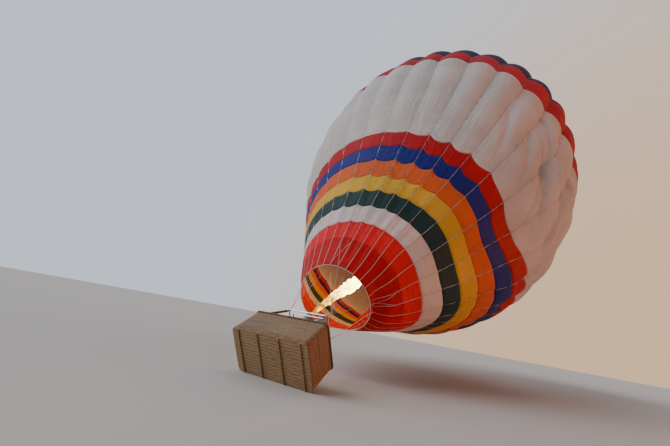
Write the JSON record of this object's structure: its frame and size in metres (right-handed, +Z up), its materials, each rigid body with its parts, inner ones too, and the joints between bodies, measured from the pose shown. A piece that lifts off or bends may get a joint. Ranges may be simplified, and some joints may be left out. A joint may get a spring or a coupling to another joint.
{
  "type": "hot air balloon",
  "caption": "Passenger hot air balloon with banded gored envelope, parachute vent, burners in a gimbal, wicker basket, leaning forward as it fills.",
  "frame": {"origin": "centre of the envelope's widest circle", "axes": "+Z up, +X the heading from the basket to the crown, +Y to the left of that heading; symmetric about the XZ plane"},
  "size_m": [29.4495, 21.0152, 26.1301],
  "materials": {
    "fabric_dark_red": "coated heat-resistant fabric at the mouth",
    "fabric_red": "coated ripstop nylon",
    "fabric_white": "coated ripstop nylon",
    "fabric_green": "coated ripstop nylon",
    "fabric_yellow": "coated ripstop nylon",
    "fabric_orange": "coated ripstop nylon",
    "fabric_blue": "coated ripstop nylon",
    "fabric_navy": "coated ripstop nylon",
    "load_tape": "woven polyester webbing",
    "steel": "satin stainless steel",
    "leather": "brown hide",
    "wicker": "woven cane and willow",
    "timber": "varnished plywood and hardwood",
    "tank_metal": "brushed cylinder"
  },
  "bodies": {
    "balloon": {"envelope_dark_red": "fabric_dark_red", "envelope_red": "fabric_red", "envelope_white_low": "fabric_white", "envelope_green": "fabric_green", "envelope_yellow": "fabric_yellow", "envelope_orange": "fabric_orange", "envelope_blue": "fabric_blue", "envelope_red_middle": "fabric_red", "envelope_white_1": "fabric_white", "envelope_white_2": "fabric_white", "envelope_white_3": "fabric_white", "envelope_white_4": "fabric_white", "envelope_red_upper": "fabric_red", "envelope_crown": "fabric_navy", "crown_ring": "load_tape", "mouth_hem": "load_tape", "stay_upper_left_1": "steel", "stay_upper_left_2": "steel", "stay_upper_right_1": "steel", "stay_upper_right_2": "steel", "stay_lower_left_1": "steel", "stay_lower_left_2": "steel", "stay_lower_right_1": "steel", "stay_lower_right_2": "steel", "karabiner_upper_left": "steel", "karabiner_upper_right": "steel", "karabiner_lower_left": "steel", "karabiner_lower_right": "steel", "burner_frame": "steel", "upright_upper_left": "leather", "upright_upper_right": "leather", "upright_lower_left": "leather", "upright_lower_right": "leather", "basket_wall": "wicker", "basket_floor": "timber", "basket_rim": "leather", "basket_partition": "wicker", "fuel_tank_1": "tank_metal", "fuel_tank_2": "tank_metal", "fuel_tank_3": "tank_metal", "fuel_tank_4": "tank_metal"},
    "gimbal": {"gimbal_ring": "steel"},
    "burners": {"burner_bridge": "steel", "burner_left": "steel", "burner_right": "steel"},
    "vent": {"parachute_vent": "fabric_red"}
  },
  "joints": [
    {"name": "gimbal_tilt", "type": "hinge", "parent": "balloon", "child": "gimbal", "pos_m": [-17.46453, 0, -14.91279], "axis": [0, 1, 0], "range_deg": [-20, 20]},
    {"name": "burner_roll", "type": "hinge", "parent": "gimbal", "child": "burners", "pos_m": [-17.46453, 0, -14.91279], "axis": [0.5225, 0, -0.8526], "range_deg": [-20, 20]},
    {"name": "vent_slide", "type": "slide", "parent": "balloon", "child": "vent", "axis": [-0.6293, 0, -0.7771], "range_m": [0, 1.2]}
  ]
}
